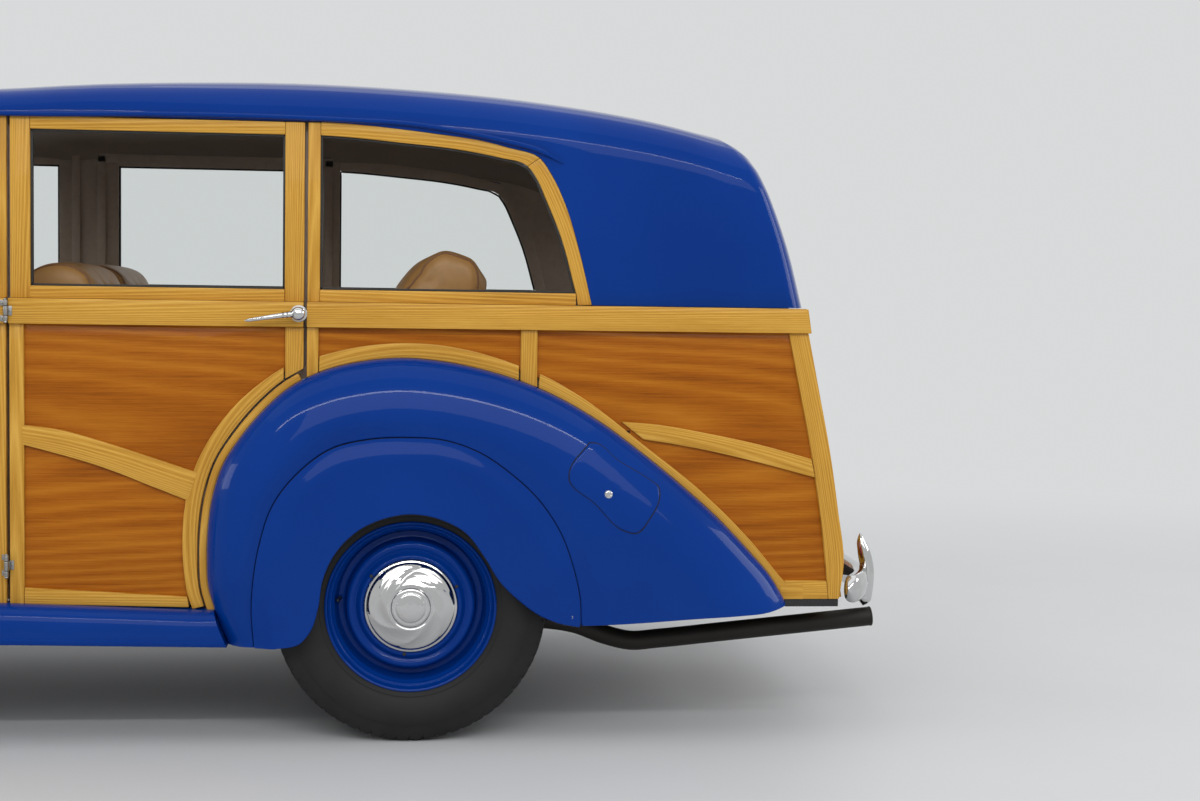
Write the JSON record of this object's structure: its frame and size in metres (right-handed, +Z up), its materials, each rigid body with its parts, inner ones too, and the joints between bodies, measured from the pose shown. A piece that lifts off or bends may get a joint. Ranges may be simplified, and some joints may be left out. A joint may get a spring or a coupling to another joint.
{
  "type": "station wagon",
  "caption": "Wood-framed estate car with side doors, a tail that opens in two halves, steel wings and bonnet, turning and steering wheels and a fitted cabin.",
  "frame": {"origin": "on the ground under the middle of the overall box", "axes": "+X to the rear of the car, +Y to the car's right, +Z up"},
  "size_m": [5.018, 1.74, 1.7418],
  "materials": {
    "tyre": "satin black rubber",
    "wheel_paint": "gloss blue enamel",
    "wood": "varnished ash and mahogany",
    "glass": "clear",
    "paint": "gloss blue enamel",
    "chrome": "polished",
    "chassis_steel": "satin black",
    "exhaust_steel": "heat darkened",
    "engine_iron": "rough cast",
    "leather": "tan hide",
    "carpet": "dark carpet",
    "dash_wood": "polished veneer",
    "black_plastic": "black"
  },
  "bodies": {
    "body": {"quarter_panels": "wood", "door_posts": "wood", "tail_apron": "wood", "fixed_glass": "glass", "running_boards": "paint", "roof": "paint", "cowl": "paint", "rear_wings": "paint", "front_wings": "paint", "windscreen_frame": "paint", "radiator": "chrome", "headlamps": "chrome", "front_bumper": "chrome", "rear_bumper": "chrome", "chassis_frame": "chassis_steel", "rear_axle": "chassis_steel", "front_axle": "chassis_steel", "exhaust": "exhaust_steel", "engine": "engine_iron", "front_seats": "leather", "rear_seat": "leather", "floor": "carpet", "dashboard": "dash_wood"},
    "front_door_left": {"front_door_left": "wood", "front_door_glass_left": "glass"},
    "rear_door_left": {"rear_door_left": "wood", "rear_door_glass_left": "glass"},
    "bonnet_left": {"bonnet_left": "paint"},
    "knuckle_left": {"knuckle_left": "chassis_steel"},
    "front_wheel_left": {"wheel_front_left": "wheel_paint", "tyre_front_left": "tyre"},
    "rear_wheel_left": {"wheel_rear_left": "wheel_paint", "tyre_rear_left": "tyre"},
    "front_door_right": {"front_door_right": "wood", "front_door_glass_right": "glass"},
    "rear_door_right": {"rear_door_right": "wood", "rear_door_glass_right": "glass"},
    "bonnet_right": {"bonnet_right": "paint"},
    "knuckle_right": {"knuckle_right": "chassis_steel"},
    "front_wheel_right": {"wheel_front_right": "wheel_paint", "tyre_front_right": "tyre"},
    "rear_wheel_right": {"wheel_rear_right": "wheel_paint", "tyre_rear_right": "tyre"},
    "tail_hatch": {"tail_hatch": "paint", "tail_hatch_glass": "glass"},
    "drop_gate": {"drop_gate": "wood"},
    "steering_wheel": {"steering_wheel": "black_plastic"}
  },
  "joints": [
    {"name": "front_door_left_swing", "type": "hinge", "parent": "body", "child": "front_door_left", "pos_m": [-0.68552, -0.71931, 0.78], "axis": [0, 0, -1], "range_deg": [0, 65]},
    {"name": "rear_door_left_swing", "type": "hinge", "parent": "body", "child": "rear_door_left", "pos_m": [0.218, -0.798, 0.78], "axis": [0, 0, -1], "range_deg": [0, 65]},
    {"name": "bonnet_left_lift", "type": "hinge", "parent": "body", "child": "bonnet_left", "pos_m": [-1.374, 0, 1.1325], "axis": [-0.9985, 0, -0.0555], "range_deg": [0, 60]},
    {"name": "steer_left", "type": "hinge", "parent": "body", "child": "knuckle_left", "pos_m": [-1.809, -0.625, 0.355], "axis": [0, 0, 1], "range_deg": [-32, 32]},
    {"name": "front_wheel_left_roll", "type": "hinge", "parent": "knuckle_left", "child": "front_wheel_left", "pos_m": [-1.809, -0.715, 0.355], "axis": [0, 1, 0], "continuous": true},
    {"name": "rear_wheel_left_roll", "type": "hinge", "parent": "body", "child": "rear_wheel_left", "pos_m": [1.239, -0.743, 0.355], "axis": [0, 1, 0], "continuous": true},
    {"name": "front_door_right_swing", "type": "hinge", "parent": "body", "child": "front_door_right", "pos_m": [-0.68552, 0.71931, 0.78], "axis": [0, 0, 1], "range_deg": [0, 65]},
    {"name": "rear_door_right_swing", "type": "hinge", "parent": "body", "child": "rear_door_right", "pos_m": [0.218, 0.798, 0.78], "axis": [0, 0, 1], "range_deg": [0, 65]},
    {"name": "bonnet_right_lift", "type": "hinge", "parent": "body", "child": "bonnet_right", "pos_m": [-1.374, 0, 1.1325], "axis": [0.9985, 0, 0.0555], "range_deg": [0, 60]},
    {"name": "steer_right", "type": "hinge", "parent": "body", "child": "knuckle_right", "pos_m": [-1.809, 0.625, 0.355], "axis": [0, 0, 1], "range_deg": [-32, 32]},
    {"name": "front_wheel_right_roll", "type": "hinge", "parent": "knuckle_right", "child": "front_wheel_right", "pos_m": [-1.809, 0.715, 0.355], "axis": [0, 1, 0], "continuous": true},
    {"name": "rear_wheel_right_roll", "type": "hinge", "parent": "body", "child": "rear_wheel_right", "pos_m": [1.239, 0.743, 0.355], "axis": [0, 1, 0], "continuous": true},
    {"name": "tail_hatch_lift", "type": "hinge", "parent": "body", "child": "tail_hatch", "pos_m": [2.11626, 0, 1.54487], "axis": [0, -1, 0], "range_deg": [0, 75]},
    {"name": "drop_gate_fall", "type": "hinge", "parent": "body", "child": "drop_gate", "pos_m": [2.36981, 0, 0.56525], "axis": [0, 1, 0], "range_deg": [0, 98]},
    {"name": "steering_wheel_turn", "type": "hinge", "parent": "body", "child": "steering_wheel", "pos_m": [-0.407, 0.32, 1.025], "axis": [0.866, 0, 0.5], "range_deg": [-515, 515]}
  ],
  "couplings": [
    {"joint": "steer_right", "follows": "steer_left", "ratio": 1},
    {"joint": "steering_wheel_turn", "follows": "steer_left", "ratio": 16}
  ]
}
